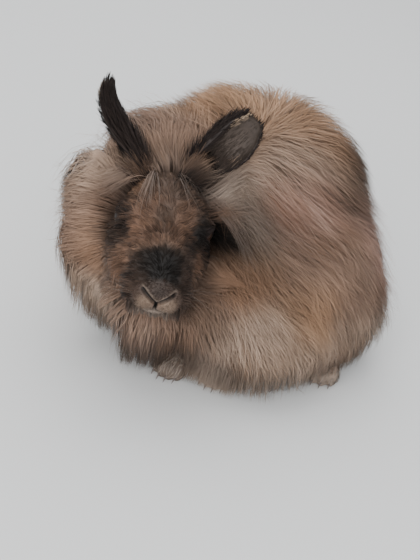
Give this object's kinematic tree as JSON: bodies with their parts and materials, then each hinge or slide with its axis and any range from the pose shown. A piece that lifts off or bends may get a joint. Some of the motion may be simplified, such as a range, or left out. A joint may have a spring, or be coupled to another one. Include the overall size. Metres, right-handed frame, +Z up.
{
  "type": "domestic rabbit",
  "caption": "Life-size long-haired domestic rabbit, crouching on the floor with its head turned to its left, one ear upright and the other out to the side, as a still display model.",
  "frame": {"origin": "centre of the outline's bottom, on the floor under the middle of the body", "axes": "+Z up, -Y the way the body faces (the head is turned about 36 degrees to the rabbit's left), +X the rabbit's own left"},
  "size_m": [0.2282, 0.2921, 0.1912],
  "materials": {
    "face_fur": "short soft fur",
    "mane_fur": "long soft fur",
    "coat_fur": "long soft fur",
    "leg_fur": "dense short fur",
    "ear_skin": "thin skin with short dark fur",
    "wet_eye": "wet and glossy"
  },
  "bodies": {
    "root": {"head": "face_fur", "neck": "mane_fur", "torso": "coat_fur", "tail": "coat_fur", "ear_left": "ear_skin", "ear_right": "ear_skin", "eye_left": "wet_eye", "eye_right": "wet_eye", "foreleg_left": "leg_fur", "foreleg_right": "leg_fur", "hindleg_left": "leg_fur", "hindleg_right": "leg_fur"}
  },
  "joints": []
}
